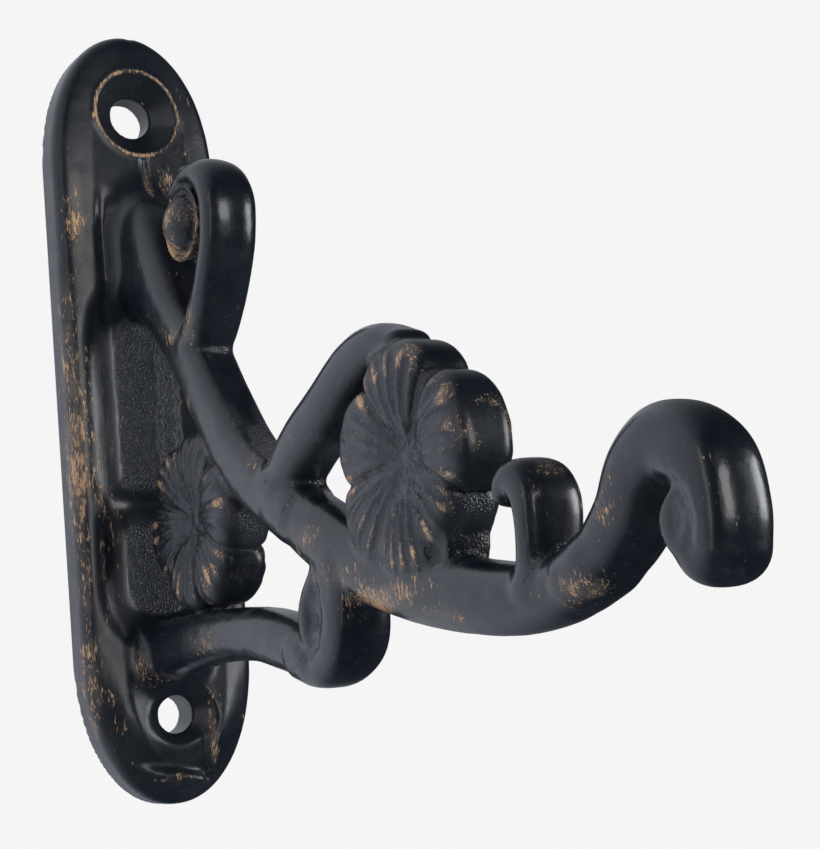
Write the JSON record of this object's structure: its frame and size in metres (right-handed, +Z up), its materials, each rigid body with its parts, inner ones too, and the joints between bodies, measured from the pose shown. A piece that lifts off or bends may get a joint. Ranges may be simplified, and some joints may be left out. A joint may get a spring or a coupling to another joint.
{
  "type": "wall hook",
  "caption": "Ornamental cast wall hook: a tall oval back plate with screw holes, and a scrolled arm with curled ends and pressed flower rosettes that reaches out for hanging.",
  "frame": {"origin": "centre of the back plate's flat back face, on the wall", "axes": "+X to the right as seen from the room facing the wall, across the arm; +Y into the wall, so the arm reaches out along -Y; +Z up"},
  "size_m": [0.023, 0.1123, 0.102],
  "materials": {
    "plate_iron": "antique black paint, satin, brushed with gold",
    "arm_iron": "antique black paint, satin, brushed with gold",
    "petal_iron": "antique black paint, satin, ribs rubbed gold",
    "boss_iron": "black paint rubbed through to gold"
  },
  "bodies": {
    "root": {"back_plate": "plate_iron", "upper_bar": "arm_iron", "lower_arm": "arm_iron", "end_curl": "arm_iron", "upper_curl": "arm_iron", "curl_ball": "boss_iron", "branch_scroll": "arm_iron", "inner_scroll": "arm_iron", "upper_flower": "petal_iron", "lower_strut": "arm_iron", "strut_scroll": "arm_iron", "lower_flower": "petal_iron"}
  },
  "joints": []
}
